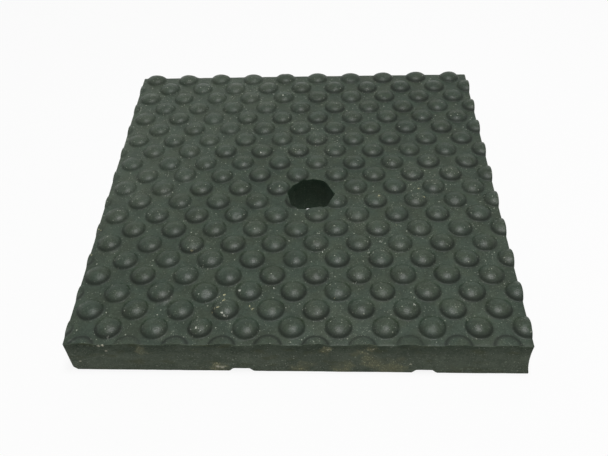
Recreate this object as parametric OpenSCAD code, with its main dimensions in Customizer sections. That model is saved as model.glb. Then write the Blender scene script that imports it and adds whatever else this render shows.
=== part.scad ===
// Anti-vibration pad: a square cut by hand from a thick moulded rubber sheet.
// The sheet has a staggered field of domed studs on top and shallow grooves
// underneath. Four knife cuts run straight through the field, so the studs on
// the edges are sliced flush with the sides, and a rough hole is carved
// through the middle. Origin under the middle of the pad, on its underside.

/* [Sheet] */
// Width of the pad, left to right, at its widest
pad_w = 200; // [120:1:300]
// Depth of the pad, front to back, at its deepest
pad_d = 204; // [120:1:300]
// Thickness of the sheet under the studs
sheet_t = 18.5; // [10:0.5:30]

/* [Studs] */
// Spacing of the studs along a row
stud_pitch = 20; // [16:0.5:30]
// Spacing of the rows, each shifted half a pitch from the last
row_pitch = 10; // [9:0.5:15]
// Diameter of a stud at its foot
stud_d = 11.7; // [8:0.1:12]
// Height of a stud above the sheet
stud_h = 2.8; // [1.5:0.1:4]
// Stud nearest the middle, to the right of the pad's centre line
field_x = 8; // [-10:0.1:10]
// Stud nearest the middle, behind the pad's centre line
field_y = -0.9; // [-10:0.1:10]

/* [Knife cuts] */
// How much further out the front cut lies at its right end
front_drift = 1.3; // [0:0.1:4]
// How far the front cut leans out towards the underside
front_lean = 1; // [0:0.1:4]
// How far the left cut leans in towards the underside
left_lean = 0.5; // [0:0.1:4]
// How much further out the right cut lies at its front end
right_drift = 0.8; // [0:0.1:4]
// How far the right cut leans out towards the underside
right_lean = 0.8; // [0:0.1:4]
// Depth of the hollow that the knife left along the right side
right_hollow = 0.8; // [0.2:0.1:2]

/* [Hole] */
// Width of the carved hole at the top of the sheet
hole_w = 23.5; // [12:0.5:40]
// How far each wall of the hole comes in towards the underside
hole_taper = 2.5; // [0:0.1:4]
// Hole centre, to the right of the pad's centre line
hole_x = 5; // [-20:0.5:20]
// Hole centre, behind the pad's centre line
hole_y = -6; // [-20:0.5:20]

/* [Grooves] */
// Width of a groove at its mouth
groove_w = 10.5; // [4:0.5:20]
// Width of a groove at its ceiling
groove_ceiling_w = 6.5; // [2:0.5:18]
// Depth of a groove
groove_h = 2; // [0.5:0.1:4]
// Spacing of the grooves, which run front to back
groove_pitch = 79.5; // [30:0.5:120]
// Groove nearest the middle, to the right of the pad's centre line
groove_x = -24.5; // [-60:0.5:60]

/* [Hidden] */
$fn = 64;

top_z = sheet_t + stud_h;
// Margin of the blank round the pad, wider than any stud it has to carry
blank = stud_d + 2;
// Length of every cut, from beyond one end of the blank to beyond the other
cut_l = 2 * (pad_w + pad_d);

// A stud is the cap of a ball whose radius follows from its foot and height
ball_r = (stud_d * stud_d / 4 + stud_h * stud_h) / (2 * stud_h);

// Rows and columns that can reach the pad, counted from the middle stud
row_n = ceil((pad_d / 2 + stud_d + abs(field_y)) / row_pitch);
col_n = ceil((pad_w / 2 + stud_d + abs(field_x)) / stud_pitch) + 1;

// Knife strokes round the hole: the bearing of each wall from the middle, and
// its distance at the top of the sheet as a share of half the width
hole_strokes = [
    [5, 0.98], [25, 0.93], [52, 0.98], [75, 0.98], [100, 0.95], [123, 0.98],
    [157, 0.96], [193, 0.97], [247, 1.03], [266, 0.95], [296, 0.98], [331, 1]
];

// Cap of a ball standing on the sheet, on a short root sunk in the rubber
module stud() {
    root = 1;
    rotate_extrude()
        intersection() {
            translate([0, stud_h - ball_r]) circle(r = ball_r);
            translate([0, -root]) square([stud_d / 2, stud_h + root]);
        }
}

// The staggered field, as far as it reaches the pad
module stud_field() {
    reach_x = (pad_w + stud_d) / 2 - 0.5;
    reach_y = (pad_d + stud_d) / 2 - 0.5;
    for (r = [-row_n : row_n]) {
        y = field_y + r * row_pitch;
        shift = (r % 2 == 0) ? 0 : stud_pitch / 2;
        for (c = [-col_n : col_n]) {
            x = field_x + shift + c * stud_pitch;
            if (abs(x) < reach_x && abs(y) < reach_y)
                translate([x, y, sheet_t]) stud();
        }
    }
}

// The uncut sheet with its studs
module studded_sheet() {
    translate([-pad_w / 2 - blank, -pad_d / 2 - blank, 0])
        cube([pad_w + 2 * blank, pad_d + 2 * blank, sheet_t]);
    stud_field();
}

// All that lies outside one straight knife cut. The cut runs along X and the
// waste lies in front of it. Its foot is at y = 0 on the underside, and it
// leans in by lean by the time it reaches the crowns of the studs.
module knife_cut(lean) {
    rotate([-atan(lean / top_z), 0, 0])
        translate([-cut_l / 2, -3 * blank, -3 * blank])
            cube([cut_l, 3 * blank, top_z + 6 * blank]);
}

// The same along the right side, where the knife wandered into the rubber and
// out again: a very long shallow hollow between the two edges of the sheet
module hollow_cut(lean, hollow) {
    chord = norm([lean, sheet_t]);
    r = (chord * chord / 4 + hollow * hollow) / (2 * hollow);
    rotate([-atan(lean / sheet_t), 0, 0])
        translate([0, hollow - r, chord / 2])
            rotate([0, 90, 0])
                cylinder(h = cut_l, r = r, center = true, $fn = 360);
}

module knife_cuts() {
    // front, out of square with its foot at the right end
    translate([pad_w / 2, -pad_d / 2, 0])
        rotate(-atan(front_drift / pad_w)) knife_cut(front_lean);
    // right, with its foot at the front end
    translate([pad_w / 2, -pad_d / 2, 0])
        rotate(90 + atan(right_drift / pad_d)) hollow_cut(right_lean, right_hollow);
    // back
    translate([0, pad_d / 2, 0]) rotate(180) knife_cut(0);
    // left, widest at the top
    translate([-pad_w / 2 + left_lean, 0, 0]) rotate(270) knife_cut(-left_lean);
}

module grooves() {
    reach = (pad_w + groove_w) / 2 - 0.5;
    for (i = [-8 : 8]) {
        x = groove_x + i * groove_pitch;
        if (abs(x) < reach)
            translate([x, 0, 0])
                rotate([90, 0, 0])
                    linear_extrude(cut_l, center = true)
                        polygon([
                            [-groove_w / 2, 0], [-groove_w / 2, -1],
                            [groove_w / 2, -1], [groove_w / 2, 0],
                            [groove_ceiling_w / 2, groove_h],
                            [-groove_ceiling_w / 2, groove_h]
                        ]);
    }
}

// The plug that came out of the hole: a block trimmed by the same knife, all
// the way round, with the blade leaning so that it is narrower underneath
module hole_plug() {
    lean = hole_taper * top_z / sheet_t;
    translate([hole_x, hole_y, 0])
        difference() {
            translate([-0.75 * hole_w, -0.75 * hole_w, -1])
                cube([1.5 * hole_w, 1.5 * hole_w, top_z + 2]);
            for (s = hole_strokes)
                rotate(s[0] + 90)
                    translate([0, hole_taper - s[1] * hole_w / 2, 0])
                        knife_cut(-lean);
        }
}

module pad() {
    color("#4b524c")
        difference() {
            studded_sheet();
            knife_cuts();
            grooves();
            hole_plug();
        }
}

pad();
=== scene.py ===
import math

import bpy
import numpy as np
from mathutils import Euler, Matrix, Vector
from mathutils.geometry import delaunay_2d_cdt


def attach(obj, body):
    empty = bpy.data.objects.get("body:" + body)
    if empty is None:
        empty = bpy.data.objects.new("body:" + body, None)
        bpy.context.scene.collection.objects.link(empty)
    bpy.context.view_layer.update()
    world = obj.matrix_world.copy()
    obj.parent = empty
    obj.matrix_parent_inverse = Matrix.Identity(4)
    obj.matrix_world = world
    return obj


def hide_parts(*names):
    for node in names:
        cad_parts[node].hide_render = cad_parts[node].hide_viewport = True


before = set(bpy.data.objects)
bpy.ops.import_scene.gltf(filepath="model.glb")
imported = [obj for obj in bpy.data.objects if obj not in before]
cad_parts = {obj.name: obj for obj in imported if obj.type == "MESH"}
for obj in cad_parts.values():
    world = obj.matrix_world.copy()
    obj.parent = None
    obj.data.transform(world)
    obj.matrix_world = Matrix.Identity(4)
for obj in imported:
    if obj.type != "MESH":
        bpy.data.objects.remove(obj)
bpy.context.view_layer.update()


# ---- the pad ------------------------------------------------------------
# One square of thick rubber sheet, press-moulded with a staggered field of
# domed studs on top and shallow grooves underneath. The four sides and the
# rough hole were then cut by hand with a knife, straight through the studs.

MM = 0.001  # every size of the pad below is in millimetres
PAD_W, PAD_D = 200.0, 204.0  # between the widest knife cuts
HALF_W, HALF_D = PAD_W / 2, PAD_D / 2
SHEET_T, STUD_H = 18.5, 2.8
STUD_R = 11.7 / 2  # at the foot
TOP_Z = SHEET_T + STUD_H
PITCH, ROW_PITCH = 20.0, 10.0  # every second row is shifted by half a pitch
FIELD_X, FIELD_Y = 8.0, -0.9  # the middle stud
ROWS, COLS = 12, 7  # rows and columns counted each way from the middle stud
FRONT_ROW, LEFT_COL = -10, -6  # what the knife sliced through along two edges
HOLE_X, HOLE_Y, HOLE_R, HOLE_TAPER = 5.0, -6.0, 11.75, 2.5
GROOVES = (-104.0, -24.5, 55.0)  # centre lines of the grooves
GROOVE_HALF, GROOVE_CEILING, GROOVE_H = 5.25, 3.25, 2.0  # half widths, depth


def stud_table():
    """What the mould and the years gave each stud, by row and column: a
    drift of its centre, a radius, a height, an oval share, a bearing, a lip
    of flash on one side, a dent and how strong the shade painted round its
    foot is."""
    rng = np.random.default_rng(41)
    shape = (2 * ROWS + 1, 2 * COLS + 1)
    table = {
        "dx": rng.normal(0, 0.18, shape),
        "dy": rng.normal(0, 0.18, shape),
        "radius": 1.015 + rng.normal(0, 0.016, shape),
        "height": 1 + np.clip(rng.normal(-0.045, 0.035, shape), -0.12, 0),
        "oval": rng.normal(0, 0.012, shape),
        "bearing": rng.uniform(0, 2 * math.pi, shape),
        "flash": np.where(rng.random(shape) < 0.1, rng.uniform(0.1, 0.3, shape), 0),
        "dent": np.where(rng.random(shape) < 0.25, rng.uniform(0.1, 0.4, shape), 0),
        # strength of the painted shade round each stud's foot
        "foot_shade_strength": rng.uniform(0.6, 1.15, shape),
    }
    # the row along the front cut is worn low, more so to the left
    worn = (0.3, 0.4, 0.35, 0.48, 0.42, 0.5, 0.45, 0.42, 0.35, 0.3)
    table["height"][ROWS + FRONT_ROW, COLS - 5:COLS + 5] *= worn
    # what the knife left of the odd rows along the left cut is low too
    table["height"][1::2, COLS + LEFT_COL] *= 0.5
    table["radius"][1::2, COLS + LEFT_COL] = 0.84
    # three studs carry a clear lip of flash towards the front right
    for row, col in ((-4, -5), (-7, -4), (0, -4)):
        table["flash"][ROWS + row, COLS + col] = 0.45
        table["bearing"][ROWS + row, COLS + col] = -0.9
    # one stud is small, and two sit off their places
    table["radius"][ROWS - 9, COLS - 3] = 0.93
    table["dx"][ROWS - 6, COLS - 5] = -1.1
    table["dy"][ROWS - 4, COLS - 5] = 0.9
    return table


studs = stud_table()


def waves(x, y, seed, lengths, size):
    """A smooth random surface: a sum of plane waves of the given lengths,
    each with a random bearing and phase, worth about size in all."""
    r = np.random.default_rng(seed)
    total = np.zeros(np.broadcast(x, y).shape)
    for length in lengths:
        for _ in range(3):
            a, p = r.uniform(0, 2 * math.pi, 2)
            k = 2 * math.pi / (length * r.uniform(0.8, 1.25))
            total = total + np.sin(k * (x * math.cos(a) + y * math.sin(a)) + p)
    return total * size / (3 * len(lengths)) ** 0.5


def nearest_stud(x, y):
    """Row and column of the stud nearest to each point. Even rows and odd
    rows are two plain square grids, so it is the nearer of two roundings."""
    even = (np.round((y - FIELD_Y) / PITCH) * 2, np.round((x - FIELD_X) / PITCH))
    odd = (
        np.round((y - FIELD_Y - ROW_PITCH) / PITCH) * 2 + 1,
        np.round((x - FIELD_X - PITCH / 2) / PITCH),
    )
    gap = [
        (x - FIELD_X - shift - c * PITCH) ** 2 + (y - FIELD_Y - r * ROW_PITCH) ** 2
        for (r, c), shift in ((even, 0), (odd, PITCH / 2))
    ]
    first = gap[0] < gap[1]
    row = np.where(first, even[0], odd[0]).astype(int)
    col = np.where(first, even[1], odd[1]).astype(int)
    return np.clip(row, -ROWS, ROWS), np.clip(col, -COLS, COLS)


def stud_centre(row, col):
    """Nominal centre of a stud: whole pitches, and half of one on odd rows."""
    x = FIELD_X + (row % 2) * PITCH / 2 + col * PITCH
    return x, FIELD_Y + row * ROW_PITCH


def top_height(x, y):
    """Height of the studded face: the sheet's level with a slow unevenness,
    and on it the nearest stud, the cap of a ball that meets the sheet in a
    small fillet, as a softened maximum of the cap's height and nought."""
    row, col = nearest_stud(x, y)
    cx, cy = stud_centre(row, col)
    t = {key: value[row + ROWS, col + COLS] for key, value in studs.items()}
    dx, dy = x - cx - t["dx"], y - cy - t["dy"]
    bearing = np.arctan2(dy, dx)
    stretch = t["radius"] * (1 + t["oval"] * np.cos(2 * (bearing - t["bearing"])))
    rho = np.hypot(dx, dy) / stretch
    share = 1 - (rho / STUD_R) ** 2
    cap = STUD_H * t["height"] * np.sign(share) * np.abs(share) ** 0.72
    # a worn or badly filled spot on the shoulder of some studs
    shoulder = 2.6
    off = np.hypot(
        dx - shoulder * np.cos(t["bearing"]), dy - shoulder * np.sin(t["bearing"])
    )
    cap = cap - t["dent"] * np.exp(-((off / 1.5) ** 2))
    # a lip of flash round part of the foot of a few studs
    side = np.maximum(np.cos(bearing - t["bearing"]), 0) ** 3
    lip = t["flash"] * side * np.exp(-(((rho - STUD_R - 0.25) / 0.35) ** 2))
    fillet = 0.08
    dome = fillet * np.logaddexp(0, cap / fillet)
    level = SHEET_T - 0.05
    level = level + (waves(x, y, 5, (70, 31), 0.05) + waves(x, y, 6, (8, 4.5), 0.028))
    return np.minimum(level + dome + lip, TOP_Z)


def painted_foot_shade(points):
    """How much shade is painted on the steep foot of a stud: a bell of the
    distance from its middle, wider inwards, weak behind the stud but not in
    the row along the front cut, scaled by the stud's own strength, and
    nought below the studded face."""
    x, y, z = points.T
    row, col = nearest_stud(x, y)
    cx, cy = stud_centre(row, col)
    index = (row + ROWS, col + COLS)
    dx, dy = x - cx - studs["dx"][index], y - cy - studs["dy"][index]
    rho = np.hypot(dx, dy) / studs["radius"][index]
    middle = STUD_R - 0.4
    # painted shade: a dark ring where shade falls at the foot, strongest in front
    width = np.where(rho < middle, 1.25, 0.75)
    bell = np.exp(-(((rho - middle) / width) ** 2))
    behind = np.clip(0.35 + dy / np.maximum(rho, 0.1), 0, 1) * (row > FRONT_ROW)
    bell *= np.clip(studs["foot_shade_strength"][index] * 1.1 * (1 - behind), 0, 1)
    return np.where(z > SHEET_T - 0.6, bell, 0)


def groove_height(x, y):
    """Height of the underside: a hair above nought, and in each groove a
    ceiling with sloping flanks, eased at its mouth and its ceiling by a
    smooth step."""
    z = np.full(np.broadcast(x, y).shape, 0.03)
    for gx in GROOVES:
        run = (GROOVE_HALF - np.abs(x - gx)) / (GROOVE_HALF - GROOVE_CEILING)
        run = np.clip(run * 0.86 + 0.14, 0, 1)
        z = np.maximum(z, (GROOVE_H - 0.05) * run**2 * (3 - 2 * run))
    return z + np.abs(waves(x, y, 7, (60, 23), 0.02))


# How far the cuts drift out of square, lean from top to bottom and bow in
FRONT_DRIFT, FRONT_LEAN, LEFT_LEAN = 1.3, 1.0, 0.5
RIGHT_DRIFT, RIGHT_LEAN, RIGHT_HOLLOW = 0.8, 0.8, 0.8
SIDES = ("front", "right", "back", "left")


def side_cut(side, along, z):
    """Distance of each knife cut from the middle of the pad: a straight cut
    that leans, plus the slow wander and the short ripple of the blade. Along
    is the place along the side, and z the height. The front cut's lean grows
    from nought at its left end, the right cut is hollow by a parabola, the
    back one falls off to the left, and the left one turns under at its foot."""
    if side == "front":
        lean = np.clip((along + HALF_W) / (0.9 * PAD_W), 0, 1)
        out = HALF_D - FRONT_DRIFT * (HALF_W - along) / PAD_W
        out = out - FRONT_LEAN * (1 - lean * (1 - z / TOP_Z))
    elif side == "right":
        h = z / SHEET_T
        out = HALF_W - RIGHT_DRIFT * (along + HALF_D) / PAD_D
        out = out - RIGHT_LEAN * h - 4 * RIGHT_HOLLOW * h * (1 - h)
    elif side == "back":
        out = HALF_D - 0.35 * np.clip(-along / HALF_W, 0, 1) ** 2 + 0 * z
    else:
        low = np.clip(1 - z / 2.2, 0, 1)
        out = HALF_W - LEFT_LEAN * (1 - z / TOP_Z) - 1.5 * low**2
    seed = 11 + SIDES.index(side)
    wander = waves(along, 2.5 * z, seed, (90, 40), 0.07)
    ripple = waves(along, 1.4 * z, seed + 20, (12, 6), 0.03)
    return out - np.abs(wander) - np.abs(ripple) - 0.01


def side_point(side, along, z):
    """Plan position of a point on a knife cut."""
    out = side_cut(side, along, z)
    if side == "front":
        return along, -out
    if side == "right":
        return out, along
    if side == "back":
        return along, out
    return -out, along


def corner(first, second, z):
    """Plan position where two neighbouring cuts meet at height z, found by
    going from one to the other a few times."""
    x = np.full(np.shape(z), HALF_W if "right" in (first, second) else -HALF_W)
    y = np.full(np.shape(z), -HALF_D if "front" in (first, second) else HALF_D)
    for _ in range(4):
        for side in (first, second):
            if side in ("front", "back"):
                _, y = side_point(side, x, z)
            else:
                x, _ = side_point(side, y, z)
    return x, y


STEP = 0.8  # spacing of points along the cut edges
outline_counts = [int(width / STEP) for width in (PAD_W, PAD_D, PAD_W, PAD_D)]


def outline(z, inset):
    """Plan outline of the pad at the heights z, one per outline point, drawn
    in by inset: each side's points run from corner to corner."""
    xs, ys, start = [], [], 0
    for k, side in enumerate(SIDES):
        n = outline_counts[k]
        zz = z[start:start + n]
        start += n
        ax, ay = corner(SIDES[k - 1], side, zz)
        bx, by = corner(side, SIDES[(k + 1) % 4], zz)
        f = (np.arange(n) + 0.5) / n
        if side in ("front", "back"):
            x, y = side_point(side, ax + (bx - ax) * f, zz)
        else:
            x, y = side_point(side, ay + (by - ay) * f, zz)
        nx, ny = ((0, 1), (-1, 0), (0, -1), (1, 0))[k]
        xs.append(x + nx * inset)
        ys.append(y + ny * inset)
    x = np.clip(np.concatenate(xs), inset - HALF_W, HALF_W - inset)
    y = np.clip(np.concatenate(ys), inset - HALF_D, HALF_D - inset)
    return x, y


# Bearing of each knife stroke round the hole and its distance from the
# middle, as a share of the hole's nominal radius
STROKES = (
    (5, 0.98), (25, 0.93), (52, 0.98), (75, 0.98), (100, 0.95), (123, 0.92),
    (157, 0.96), (193, 0.97), (247, 1.03), (266, 0.95), (296, 0.98), (331, 1.0),
)
HOLE_POINTS = 150
RIM, HOLE_RIM = 0.28, 0.22  # how far the cut edges are broken


def hole_outline(z, inset):
    """Plan outline of the hole at heights z: at each bearing the nearest of
    the strokes' straight walls, each leaning in towards the underside."""
    turn = 2 * math.pi * (np.arange(HOLE_POINTS) + 0.5) / HOLE_POINTS
    reach = np.full(HOLE_POINTS, 99.0)
    for bearing, share in STROKES:
        across = np.cos(turn - math.radians(bearing))
        away = HOLE_R * share - HOLE_TAPER * (1 - z / SHEET_T)
        facing = np.minimum(reach, away / np.maximum(across, 0.2))
        reach = np.where(across > 0.2, facing, reach)
    rough = waves(turn * 11, z, 31, (7, 3), 0.08)
    reach = reach + rough - inset
    return HOLE_X + reach * np.cos(turn), HOLE_Y + reach * np.sin(turn)


def wall(plan, count, sign, radius):
    """Rows of points down a cut wall. A row is the plan outline at its own
    heights, and the first and last few turn over the rims in a quarter
    circle. sign is 1 where the rubber lies inside the outline, and -1 at
    the hole. The result is x, y and z, each with a row for each level and
    count columns."""
    turn = np.radians([90, 60, 30, 0])
    levels = 9
    z_top = np.full(count, SHEET_T)
    z_low = np.zeros(count)
    for _ in range(3):
        x, y = plan(z_top, sign * radius * 0.3)
        z_top = top_height(x, y)
        x, y = plan(z_low, sign * radius * 0.3)
        z_low = groove_height(x, y)
    rows = []
    for a in turn:
        inset = sign * radius * (1 - math.cos(a))
        x, y = plan(z_top, inset)
        drop = radius * (1 - math.sin(a))
        z = top_height(x, y) if a == turn[0] else z_top - drop
        rows.append((x, y, z))
    for s in np.linspace(0, 1, levels + 2)[1:-1]:
        z = (z_top - radius) + (z_low + 2 * radius - z_top) * s
        rows.append((*plan(z, 0), z))
    for a in turn[::-1]:
        inset = sign * radius * (1 - math.cos(a))
        x, y = plan(z_low, inset)
        rise = radius * (1 - math.sin(a))
        z = groove_height(x, y) if a == turn[0] else z_low + rise
        rows.append((x, y, z))
    return tuple(np.array([row[k] for row in rows]) for k in range(3))


def ring_points():
    """Points of the studded face round every stud: rings whose number of
    points grows with their radius, close together at the foot."""
    row, col = np.meshgrid(
        np.arange(-ROWS, ROWS + 1), np.arange(-COLS, COLS + 1), indexing="ij"
    )
    cx, cy = stud_centre(row.ravel(), col.ravel())
    index = (row.ravel() + ROWS, col.ravel() + COLS)
    cx, cy = cx + studs["dx"][index], cy + studs["dy"][index]
    scale = studs["radius"][index]
    xs, ys = [cx], [cy]
    radii = (0.75, 1.5, 2.25, 3.0, 3.7, 4.35, 4.9, 5.3, 5.6, 5.8, 6.0, 6.25, 6.8)
    spacing = 0.95
    for k, radius in enumerate(radii):
        n = max(6, int(2 * math.pi * radius / spacing))
        turn = 2 * math.pi * (np.arange(n) + 0.5 * (k % 2)) / n
        xs.append((cx[:, None] + radius * scale[:, None] * np.cos(turn)).ravel())
        ys.append((cy[:, None] + radius * scale[:, None] * np.sin(turn)).ravel())
    return np.concatenate(xs), np.concatenate(ys)


def between_points():
    """Points on the bare sheet between the studs: a square grid, less what
    the rings round the studs cover."""
    grid, covered = 1.75, 7.7
    x, y = np.meshgrid(np.arange(-102, 102, grid), np.arange(-104, 104, grid))
    x, y = x.ravel(), y.ravel()
    cx, cy = stud_centre(*nearest_stud(x, y))
    bare = np.hypot(x - cx, y - cy) > covered
    return x[bare], y[bare]


def groove_points():
    """Points of the underside: a grid with extra lines along the flanks."""
    lines = [np.arange(-96, 97, 6.0)]
    for gx in GROOVES:
        lines.append(gx + np.arange(-6.2, 6.3, 0.5))
    x, y = np.meshgrid(np.unique(np.concatenate(lines)), np.arange(-99, 100, 3.3))
    return x.ravel(), y.ravel()


def clear_of_rims(x, y, loop, hole, clearance):
    """True for points that keep clear of the outer rim and the hole's rim.
    The outer rim is read side by side, and the hole's by bearing."""
    inside, start = np.ones(x.shape, bool), 0
    for side, n in zip(SIDES, outline_counts):
        lx, ly = loop[0][start:start + n], loop[1][start:start + n]
        start += n
        if side in ("front", "back"):
            along, across, rim_along, rim_across = x, y, lx, ly
        else:
            along, across, rim_along, rim_across = y, x, ly, lx
        order = np.argsort(rim_along)
        rim = np.interp(along, rim_along[order], rim_across[order])
        sign = 1 if side in ("right", "back") else -1
        inside &= sign * (rim - across) > clearance
    rim_turn = np.arctan2(hole[1] - HOLE_Y, hole[0] - HOLE_X)
    rim_reach = np.hypot(hole[0] - HOLE_X, hole[1] - HOLE_Y)
    turn = np.arctan2(y - HOLE_Y, x - HOLE_X)
    rim = np.interp(turn, rim_turn, rim_reach, period=2 * math.pi)
    return inside & (np.hypot(x - HOLE_X, y - HOLE_Y) > rim + clearance)


def skin(loop, hole, x, y, height):
    """Triangles of one face of the sheet, between its outer rim and the
    hole's, through the free points x and y. It gives the height of the free
    points and the triangles, numbered with the two rims first."""
    keep = clear_of_rims(x, y, loop, hole, 0.4)
    x, y = x[keep], y[keep]
    n, m = len(loop[0]), len(hole[0])
    px = np.concatenate([loop[0], hole[0], x])
    py = np.concatenate([loop[1], hole[1], y])
    edges = [(i, (i + 1) % n) for i in range(n)]
    edges += [(n + i, n + (i + 1) % m) for i in range(m)]
    points = [Vector(p) for p in zip(px.tolist(), py.tolist())]
    _, _, faces, source, _, _ = delaunay_2d_cdt(points, edges, [], 0, 1e-6)
    tri = np.array([s[0] for s in source])[np.array(faces)]
    # three points of the outer rim taken in rim order run clockwise outside
    # the pad, and three of the hole's run anticlockwise inside the hole
    s = np.sort(tri, axis=1)
    ax, ay = px[s[:, 1]] - px[s[:, 0]], py[s[:, 1]] - py[s[:, 0]]
    bx, by = px[s[:, 2]] - px[s[:, 0]], py[s[:, 2]] - py[s[:, 0]]
    anticlockwise = ax * by - ay * bx > 0
    outside = (tri < n).all(1) & ~anticlockwise
    in_hole = ((tri >= n) & (tri < n + m)).all(1) & anticlockwise
    return x, y, height(x, y), tri[~(in_hole | outside)]


def put(name, data):
    """A new object at the origin that holds the given data."""
    piece = bpy.data.objects.new(name, data)
    bpy.context.scene.collection.objects.link(piece)
    return piece


def build_pad():
    """The closed skin of the pad: the studded face, the outer wall, the
    hole's wall and the grooved underside, which share their rim points."""
    ox, oy, oz = wall(outline, sum(outline_counts), 1, RIM)
    hx, hy, hz = wall(hole_outline, HOLE_POINTS, -1, HOLE_RIM)
    n, m, rows = ox.shape[1], hx.shape[1], ox.shape[0]
    free = [np.concatenate(pair) for pair in zip(ring_points(), between_points())]
    tx, ty, tz, top = skin((ox[0], oy[0]), (hx[0], hy[0]), *free, top_height)
    bx, by, bz, low = skin(
        (ox[-1], oy[-1]), (hx[-1], hy[-1]), *groove_points(), groove_height)
    outer = np.arange(rows * n).reshape(rows, n)
    hole = rows * n + np.arange(rows * m).reshape(rows, m)
    first_top = rows * (n + m)
    first_low = first_top + len(tx)
    top_ids = np.concatenate([outer[0], hole[0], first_top + np.arange(len(tx))])
    low_ids = np.concatenate([outer[-1], hole[-1], first_low + np.arange(len(bx))])
    quads = []
    for ids, flip in ((outer, False), (hole, True)):
        a, b = ids[:-1], np.roll(ids, -1, 1)[:-1]
        c, d = np.roll(ids, -1, 1)[1:], ids[1:]
        q = np.stack([a, d, c, b], -1).reshape(-1, 4)
        quads.append(q[:, ::-1] if flip else q)
    points = np.stack([
        np.concatenate([ox.ravel(), hx.ravel(), tx, bx]),
        np.concatenate([oy.ravel(), hy.ravel(), ty, by]),
        np.concatenate([oz.ravel(), hz.ravel(), tz, bz]),
    ], 1)
    top, low = top_ids[top], low_ids[low][:, ::-1]
    triangles = np.concatenate([top, low])
    faces = triangles.tolist() + quads[0].tolist() + quads[1].tolist()
    cut = np.zeros(len(faces), np.int32)
    cut[len(triangles):] = 1
    mesh = bpy.data.meshes.new("pad_rubber")
    mesh.from_pydata((points * MM).tolist(), [], faces)
    mesh.polygons.foreach_set("material_index", cut)
    mesh.polygons.foreach_set("use_smooth", np.ones(len(faces), bool))
    mesh.validate()
    # how much shade is painted at each point round the studs' feet
    foot_shade = mesh.attributes.new("foot_shade", "FLOAT", "POINT")
    foot_shade.data.foreach_set("value", painted_foot_shade(points).astype(np.float32))
    mesh.update()
    return put("pad_rubber", mesh)


pad = build_pad()


# ---- the view -----------------------------------------------------------
# The camera looks down on the pad from the front at about 45 degrees, from a
# little under 40 cm away, as someone at the bench would.

VIEW_W, VIEW_H = 608, 456  # pixels
SENSOR_W, LENS = 36, 42.488  # millimetres
EYE = Vector((0.01342, -0.2777, 0.26721))  # metres
EYE_TURN = Euler([math.radians(a) for a in (44.831, 1.591, 1.061)])


def sight(across, down):
    """Direction in which the camera sees a pixel of the view."""
    pixel = SENSOR_W / LENS / VIEW_W
    ray = Vector(((across - VIEW_W / 2) * pixel, (VIEW_H / 2 - down) * pixel, -1))
    return EYE_TURN.to_matrix() @ ray


def on_face(across, down):
    """Place in mm on the studded face that shows at a pixel: the line of
    sight is met with the height of the face there, until the two agree."""
    ray, z = sight(across, down), SHEET_T
    for _ in range(30):
        at = (EYE + ray * ((z * MM - EYE.z) / ray.z)) / MM
        z += 0.5 * (float(top_height(np.array(at.x), np.array(at.y))) - z)
    return at.x, at.y, z


def on_front(across, down):
    """The same on the front cut."""
    ray, y = sight(across, down), -HALF_D
    for _ in range(10):
        at = (EYE + ray * ((y * MM - EYE.y) / ray.y)) / MM
        y = -float(side_cut("front", np.array(at.x), np.array(at.z)))
    return at.x, y, at.z


def seen(find, marks):
    """Marks given by pixel and radius, as x, y, z and radius in mm."""
    return [(*find(across, down), radius) for across, down, radius in marks]


# The rubber itself: black with a green cast, satin where it was moulded and
# matt where the knife went through, with pale grit and dust lying on it.


def add(tree, kind, inputs=None, **settings):
    """One shader node with its settings; an input is a value or a socket."""
    n = tree.nodes.new("ShaderNode" + kind)
    for key, value in settings.items():
        setattr(n, key, value)
    for key, value in (inputs or {}).items():
        if isinstance(value, bpy.types.NodeSocket):
            tree.links.new(value, n.inputs[key])
        else:
            n.inputs[key].default_value = value
    return n


def math_node(tree, operation, a, b):
    """The result of one Math node."""
    return add(tree, "Math", {0: a, 1: b}, operation=operation).outputs[0]


def times(tree, a, b):
    """The product of two values."""
    return math_node(tree, "MULTIPLY", a, b)


def greater(tree, a, b):
    """The greater of two values."""
    return math_node(tree, "MAXIMUM", a, b)


def remap(tree, value, low, high, to_low=0.0, to_high=1.0):
    """A value eased from one range to another."""
    return add(tree, "MapRange", {
        "Value": value, "From Min": low, "From Max": high,
        "To Min": to_low, "To Max": to_high,
    }, interpolation_type="SMOOTHSTEP").outputs[0]


def blend(tree, share, a, b):
    """Two colours mixed by a share."""
    n = add(tree, "Mix", data_type="RGBA")
    for socket, value in ((n.inputs[0], share), (n.inputs[6], a), (n.inputs[7], b)):
        if isinstance(value, bpy.types.NodeSocket):
            tree.links.new(value, socket)
        elif isinstance(value, tuple):
            socket.default_value = (*value, 1)
        else:
            socket.default_value = value
    return n.outputs[2]


def coat(tree, colour, coats):
    """A colour with coats laid over it in turn, each a share and a colour."""
    for share, paint in coats:
        colour = blend(tree, share, colour, paint)
    return colour


def new_group(name, inputs, outputs):
    """An empty node group with its sockets, all numbers but Vector ones."""
    tree = bpy.data.node_groups.new(name, "ShaderNodeTree")
    for label, default in inputs:
        kind = "NodeSocketVector" if default is None else "NodeSocketFloat"
        socket = tree.interface.new_socket(label, in_out="INPUT", socket_type=kind)
        if default is not None:
            socket.default_value = default
    for label in outputs:
        tree.interface.new_socket(label, in_out="OUTPUT", socket_type="NodeSocketFloat")
    return tree, tree.nodes.new("NodeGroupInput"), tree.nodes.new("NodeGroupOutput")


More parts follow.
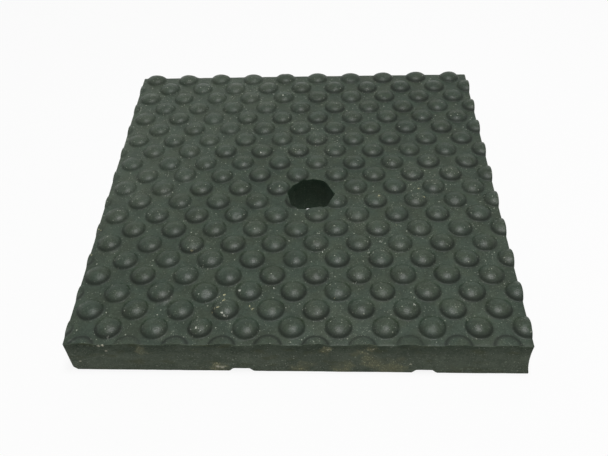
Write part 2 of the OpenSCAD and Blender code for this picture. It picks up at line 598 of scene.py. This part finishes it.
def mottle_group():
    """Tone: three sizes of noise added. Height: the two finer ones. Hue: a
    second, unrelated pattern in patches of the same size."""
    tree, source, sink = new_group("rubber_mottle", [
        ("Vector", None), ("Patch", 0.012), ("Grain", 0.0011)], ["Tone", "Height", "Hue"])
    noise = []
    for size, factor, detail in (("Patch", 1, 3), ("Grain", 1, 2), ("Grain", 0.4, 1)):
        scale = math_node(
            tree, "DIVIDE", 1.0, times(tree, source.outputs[size], factor))
        noise.append(add(tree, "TexNoise", {
            "Vector": source.outputs["Vector"], "Scale": scale, "Detail": detail,
        }))
    hue = add(tree, "SeparateColor", {"Color": noise[0].outputs[1]}).outputs[2]
    noise = [n.outputs[0] for n in noise]
    fine = math_node(
        tree, "ADD", times(tree, noise[1], 0.6), times(tree, noise[2], 0.4))
    tone = math_node(
        tree, "ADD", times(tree, noise[0], 0.4), times(tree, fine, 0.6))
    tree.links.new(hue, sink.inputs["Hue"])
    tree.links.new(tone, sink.inputs["Tone"])
    tree.links.new(fine, sink.inputs["Height"])
    return tree


def speck_group():
    """Mask of scattered grit: one grain in some of the cells of a Voronoi
    pattern, each of its own size and brightness. Noise pushes the pattern
    about by less than half a cell, so that no grain is quite round."""
    tree, source, sink = new_group("pale_specks", [
        ("Vector", None), ("Cells", 600.0), ("Share", 0.2), ("Size", 0.3)], ["Mask"])
    scaled = add(tree, "VectorMath", {
        0: source.outputs["Vector"], "Scale": source.outputs["Cells"]}, operation="SCALE")
    noise = add(tree, "TexNoise", {
        "Vector": scaled.outputs[0], "Scale": 3.5, "Detail": 0.0}).outputs[1]
    ragged = add(tree, "VectorMath", {
        0: noise, 1: (0.45, 0.45, 0.45), 2: scaled.outputs[0]}, operation="MULTIPLY_ADD")
    cells = add(tree, "TexVoronoi", {"Vector": ragged.outputs[0], "Scale": 1.0})
    random = add(tree, "SeparateColor", {"Color": cells.outputs["Color"]})
    chosen = math_node(tree, "LESS_THAN", random.outputs[0], source.outputs["Share"])
    size = times(tree, source.outputs["Size"], remap(
        tree, random.outputs[1], 0.0, 1.0, 0.4, 1.0))
    grain = remap(tree, cells.outputs["Distance"], size, times(tree, size, 0.4))
    bright = remap(tree, random.outputs[2], 0.0, 1.0, 0.25, 1.0)
    mask = times(tree, times(tree, grain, chosen), bright)
    tree.links.new(mask, sink.inputs["Mask"])
    return tree


def spot_group():
    """Mask of one spot: one near the centre and nought beyond the radius."""
    tree, source, sink = new_group("dirt_spot", [
        ("Vector", None), ("Centre", None), ("Radius", 0.001)], ["Mask"])
    away = add(tree, "VectorMath", {
        0: source.outputs["Vector"], 1: source.outputs["Centre"]}, operation="DISTANCE")
    share = math_node(tree, "DIVIDE", away.outputs["Value"], source.outputs["Radius"])
    tree.links.new(remap(tree, share, 1.0, 0.3), sink.inputs["Mask"])
    return tree


mottle, specks, spot = mottle_group(), speck_group(), spot_group()


def spots(tree, vector, places, ragged):
    """Mask of several spots, each given as x, y, z, radius in mm. Their edges
    are made ragged by pushing the whole pattern about with noise, up to one
    and a half times the length that is given in mm."""
    noise = add(tree, "TexNoise", {
        "Vector": vector, "Scale": 0.8 / (ragged * MM), "Detail": 2.0}).outputs[1]
    push = add(tree, "VectorMath", {
        0: noise, 1: (3 * ragged * MM,) * 3, 2: (-1.5 * ragged * MM,) * 3},
        operation="MULTIPLY_ADD").outputs[0]
    vector = add(tree, "VectorMath", {0: vector, 1: push}, operation="ADD").outputs[0]
    total = 0.0
    for x, y, z, radius in places:
        mask = add(tree, "Group", {
            "Vector": vector, "Centre": (x * MM, y * MM, z * MM),
            "Radius": radius * MM}, node_tree=spot).outputs[0]
        total = greater(tree, mask, total)
    return total


# Grit and stains that show one by one. Each is a pixel of the view,
# across and down, and a radius in mm: pale crumbs, tan crumbs and clouds
# of dust on the moulded face, then crumbs and clouds of dust on the front cut
PALE_BITS = seen(on_face, (
    (108, 337, 0.65), (224, 315.5, 0.75), (221.5, 312.5, 0.6), (239.5, 290.5, 0.8),
    (274.5, 288.5, 0.6), (192.5, 240.5, 0.45), (199.5, 294, 0.45), (414.5, 304.5, 0.7),
    (356, 283, 0.5), (261, 152.5, 0.5), (283, 95, 0.6), (227, 317, 0.5),
    (196, 327.5, 0.6), (200.5, 331, 0.45), (190.5, 329.5, 0.5), (381, 241.5, 0.5),
    (369, 252.5, 0.45), (380.5, 288, 0.5), (322.5, 252.5, 0.4), (374.5, 276, 0.4),
    (187.5, 124, 0.55), (273.5, 94, 0.6), (254, 133, 0.45),
))
TAN_BITS = seen(on_face, (
    (99.5, 229.5, 0.7), (91.5, 255, 0.7), (217, 307, 0.8), (212.5, 312.5, 0.6),
    (214, 308, 0.6), (224, 295, 0.9), (223.5, 300, 0.8), (218.5, 297, 0.5),
    (191.5, 250.5, 0.7), (252.5, 309, 0.7), (249.5, 306.5, 0.6), (334.5, 298, 0.45),
    (379.5, 195.5, 0.8), (424.5, 197, 0.9), (418, 188.5, 0.65), (396.5, 225, 0.5),
))
DUST_CLOUDS = seen(on_face, (
    (169, 336.5, 6), (196.5, 326, 6), (232.5, 324.5, 5), (222.5, 301, 8), (420.5, 196, 6),
    (382, 196.5, 5), (379, 295, 7), (462.5, 304.5, 9), (357, 223.5, 9), (198.5, 246.5, 7),
))
FACE_BITS = seen(on_front, (
    (410.5, 364, 0.8), (218, 366.5, 1.3), (222.5, 367, 1.4), (106, 351, 0.7),
    (80.5, 361, 0.7), (98.5, 346, 0.8), (102.5, 345.5, 0.8), (328, 350, 0.5),
    (373, 349.5, 0.7),
))
FACE_CLOUDS = seen(on_front, (
    (390, 367, 8), (375, 364, 6), (363, 357.5, 5), (373, 350, 4), (328, 351, 4),
    (402, 368.5, 5), (343.5, 368, 6), (220.5, 367, 5), (142.5, 351.5, 5),
    (302, 366, 6),
))
# Scuffs on the studs along the left cut, as x, y, z and radius in mm
SCUFFS = (
    (-96.3, -79.3, 19.6, 1.8), (-96.0, -19.5, 19.6, 2.2), (-97.0, -60.0, 19.2, 1.5),
    (-95.5, 1.0, 19.6, 1.8), (-96.5, -97.5, 18.6, 2.0), (-90.5, 81.0, 20.5, 2.5),
)


def moulded_rubber():
    """The skin that met the mould: satin, mottled, with grit and dust."""
    m = bpy.data.materials.new("moulded_rubber")
    m.use_nodes = True
    t = m.node_tree
    b = t.nodes["Principled BSDF"]
    place = add(t, "TexCoord").outputs["Object"]
    base = add(t, "Group", {
        "Vector": place, "Patch": 0.010, "Grain": 0.0010}, node_tree=mottle)
    tone = remap(t, base.outputs["Tone"], 0.41, 0.59)
    hue = remap(t, base.outputs["Hue"], 0.38, 0.62)
    dark = blend(t, hue, (0.016, 0.029, 0.017), (0.018, 0.029, 0.015))
    light = blend(t, hue, (0.032, 0.051, 0.034), (0.035, 0.052, 0.032))
    # dust: clouds of it and a haze; over the back left a painted sheen, a paler coat,
    # which also brings more grit
    haze = add(t, "TexNoise", {"Vector": place, "Scale": 30.0, "Detail": 3.0}).outputs[0]
    cloud = spots(t, place, DUST_CLOUDS, 5.0)
    haze = greater(t, remap(t, haze, 0.45, 0.75, 0.0, 0.7), cloud)
    back_left = add(
        t, "VectorMath", {0: place, 1: (-0.8, 0.6, 0.0)}, operation="DOT_PRODUCT")
    sheen_and_dust = remap(t, back_left.outputs["Value"], 0.0, 0.1)
    gritty = greater(t, haze, times(t, sheen_and_dust, 0.5))
    coarse = add(t, "Group", {
        "Vector": place, "Cells": 830.0, "Size": 0.4,
        "Share": remap(t, gritty, 0.0, 1.0, 0.08, 0.42)}, node_tree=specks).outputs[0]
    fine = add(t, "Group", {
        "Vector": place, "Cells": 1500.0, "Size": 0.48,
        "Share": remap(t, gritty, 0.0, 1.0, 0.26, 0.95)}, node_tree=specks).outputs[0]
    # painted shade: the back right is made darker
    back_right = add(
        t, "VectorMath", {0: place, 1: (0.8, 0.6, 0.0)}, operation="DOT_PRODUCT")
    back_right_shade = remap(t, back_right.outputs["Value"], 0.0, 0.1, 0.0, 0.13)
    scuff = spots(t, place, SCUFFS, 1.6)
    tan = spots(t, place, TAN_BITS, 1.0)
    pale = spots(t, place, PALE_BITS, 0.8)
    # painted shade round the feet of the studs, weaker towards the back left
    foot_shade = add(t, "Attribute", attribute_name="foot_shade").outputs["Fac"]
    foot_shade_strength = times(t, foot_shade, remap(t, sheen_and_dust, 0.0, 1.0, 0.84, 0.45))
    colour = coat(t, blend(t, tone, dark, light), (
        # painted sheen: the back left made paler
        (times(t, sheen_and_dust, 0.085), (0.17, 0.20, 0.16)),
        # painted shade at the back right
        (back_right_shade, (0.010, 0.016, 0.010)),
        (times(t, haze, 0.06), (0.16, 0.17, 0.13)),
        (times(t, fine, 0.65), (0.20, 0.23, 0.18)),
        (coarse, (0.38, 0.41, 0.33)),
        (times(t, scuff, 0.3), (0.26, 0.29, 0.25)),
        (tan, (0.44, 0.42, 0.25)),
        (pale, (0.60, 0.62, 0.54)),
        # painted shade at the feet of the studs
        (foot_shade_strength, (0.008, 0.011, 0.008)),
    ))
    t.links.new(colour, b.inputs["Base Color"])
    # the sheen goes where shade is painted at the studs' feet, and where there is dust,
    # grit or a lighter patch
    dry = greater(t, times(t, foot_shade, 0.8), times(t, haze, 0.3))
    dry = greater(t, dry, greater(t, coarse, tan))
    dry = greater(t, dry, remap(t, base.outputs["Tone"], 0.45, 0.6, 0.0, 0.3))
    t.links.new(remap(t, dry, 0.0, 1.0, 0.4, 0.75), b.inputs["Roughness"])
    b.inputs["Specular IOR Level"].default_value = 0.28
    height = math_node(t, "ADD", base.outputs["Height"], times(t, coarse, 0.8))
    bump = add(t, "Bump", {"Height": height, "Strength": 0.85, "Distance": 0.0002})
    t.links.new(bump.outputs[0], b.inputs["Normal"])
    return m


def cut_rubber():
    """The knife's cut: matt, drawn out in streaks along the sheet, dark near
    the studs and dusty towards the floor, and darkest in the hole, where shade
    is painted in."""
    m = bpy.data.materials.new("cut_rubber")
    m.use_nodes = True
    t = m.node_tree
    b = t.nodes["Principled BSDF"]
    place = add(t, "TexCoord").outputs["Object"]
    parts = add(t, "SeparateXYZ", {0: place})
    drawn = add(t, "Mapping", {"Vector": place, "Scale": (1.0, 1.0, 2.2)}).outputs[0]
    base = add(t, "Group", {
        "Vector": place, "Patch": 0.004, "Grain": 0.0008}, node_tree=mottle)
    streak = add(t, "Group", {
        "Vector": drawn, "Patch": 0.012, "Grain": 0.0014}, node_tree=mottle)
    tone = math_node(
        t, "ADD", times(t, base.outputs["Tone"], 0.5),
        times(t, streak.outputs["Tone"], 0.5))
    low = remap(t, parts.outputs[2], 0.018, 0.010)
    tone = math_node(
        t, "ADD", remap(t, tone, 0.38, 0.62, 0.0, 0.6), times(t, low, 0.4))
    stain = add(
        t, "TexNoise", {"Vector": drawn, "Scale": 110.0, "Detail": 2.0}).outputs[0]
    cloud = spots(t, place, FACE_CLOUDS, 5.0)
    dust = greater(t, cloud, times(t, low, 0.4))
    fine = add(t, "Group", {
        "Vector": place, "Cells": 1400.0, "Size": 0.5,
        "Share": remap(t, dust, 0.0, 1.0, 0.15, 1.0)}, node_tree=specks).outputs[0]
    coarse = add(t, "Group", {
        "Vector": place, "Cells": 800.0, "Size": 0.42,
        "Share": remap(t, dust, 0.0, 1.0, 0.04, 1.0)}, node_tree=specks).outputs[0]
    grit = blend(t, cloud, (0.30, 0.33, 0.26), (0.52, 0.50, 0.28))
    plan = add(t, "CombineXYZ", {0: parts.outputs[0], 1: parts.outputs[1]}).outputs[0]
    axis = add(t, "VectorMath", {
        0: plan, 1: (HOLE_X * MM, HOLE_Y * MM, 0)}, operation="DISTANCE")
    # painted shade in the hole
    hole_shade = remap(t, axis.outputs["Value"], 0.022, 0.018, 0.0, 0.75)
    colour = coat(t, blend(t, tone, (0.030, 0.044, 0.029), (0.132, 0.160, 0.118)), (
        (remap(t, stain, 0.52, 0.7, 0.0, 0.4), (0.070, 0.076, 0.034)),
        (times(t, cloud, 0.42), (0.24, 0.24, 0.14)),
        (times(t, fine, 0.75), grit),
        (coarse, grit),
        (spots(t, place, FACE_BITS, 0.6), (0.56, 0.55, 0.43)),
        (hole_shade, (0.004, 0.018, 0.008)),
    ))
    t.links.new(colour, b.inputs["Base Color"])
    b.inputs["Roughness"].default_value = 0.78
    b.inputs["Specular IOR Level"].default_value = 0.15
    height = math_node(t, "ADD", base.outputs["Height"], streak.outputs["Height"])
    bump = add(t, "Bump", {"Height": height, "Strength": 0.6, "Distance": 0.0003})
    t.links.new(bump.outputs[0], b.inputs["Normal"])
    return m


pad.data.materials.append(moulded_rubber())
pad.data.materials.append(cut_rubber())
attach(pad, "root")
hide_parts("pad")


# ---- the floor ----------------------------------------------------------
# A plain sheet of white paper that the pad lies on, wide enough to be the
# background of any view. It is brighter to the camera than to the pad.

floor_mesh = bpy.data.meshes.new("floor")
floor_mesh.from_pydata(
    [(-3, -3, 0), (3, -3, 0), (3, 3, 0), (-3, 3, 0)], [], [(0, 1, 2, 3)])
floor = put("floor", floor_mesh)
WHITE = (1, 1, 1, 1)


def looked_at(tree):
    """One where the camera looks straight at a surface, or sees it in
    something shiny or clear: the greatest of three masks of Light Path."""
    path = add(tree, "LightPath").outputs
    shiny = greater(tree, path["Is Glossy Ray"], path["Is Transmission Ray"])
    return greater(tree, path["Is Camera Ray"], shiny)


def white_paper():
    """Matt paper, and nine parts in ten plain white where it is looked at."""
    m = bpy.data.materials.new("white_paper")
    m.use_nodes = True
    t = m.node_tree
    t.nodes.clear()
    matt = add(t, "BsdfDiffuse", {"Color": (0.86, 0.86, 0.86, 1)})
    glow = add(t, "Emission", {"Color": WHITE})
    mix = add(t, "MixShader", {
        0: times(t, looked_at(t), 0.9), 1: matt.outputs[0], 2: glow.outputs[0]})
    add(t, "OutputMaterial", {"Surface": mix.outputs[0]})
    return m


floor.data.materials.append(white_paper())


# ---- the light ----------------------------------------------------------
# A pale room that is brighter behind the pad and one soft lamp overhead. To
# the camera and in reflections the room is plain white, like the paper.

world = bpy.data.worlds.new("room")
bpy.context.scene.world = world
world.use_nodes = True
walls = world.node_tree
walls.nodes.clear()
behind = add(walls, "VectorMath", {
    0: add(walls, "TexCoord").outputs["Generated"], 1: (-0.6, 0.8, -0.5)},
    operation="DOT_PRODUCT").outputs["Value"]
room = add(walls, "Background", {"Color": remap(walls, behind, -0.3, 0.9, 0.02, 0.75)})
sky = add(walls, "Background", {"Color": WHITE, "Strength": 1.0})
mix = add(walls, "MixShader", {
    0: looked_at(walls), 1: room.outputs[0], 2: sky.outputs[0]})
add(walls, "OutputWorld", {"Surface": mix.outputs[0]})

lamp_data = bpy.data.lights.new("overhead", "AREA")
lamp_data.shape = "DISK"
lamp_data.size = 0.24
lamp_data.energy = 6.2
lamp = put("overhead", lamp_data)
lamp.location = (0.07, -0.06, 0.87)


# ---- the camera ---------------------------------------------------------

camera_data = bpy.data.cameras.new("camera")
camera_data.sensor_width = SENSOR_W
camera_data.lens = LENS
camera_data.clip_start = 0.01
camera = put("camera", camera_data)
camera.location = EYE
camera.rotation_euler = EYE_TURN
bpy.context.scene.camera = camera
bpy.context.scene.view_settings.view_transform = "Standard"
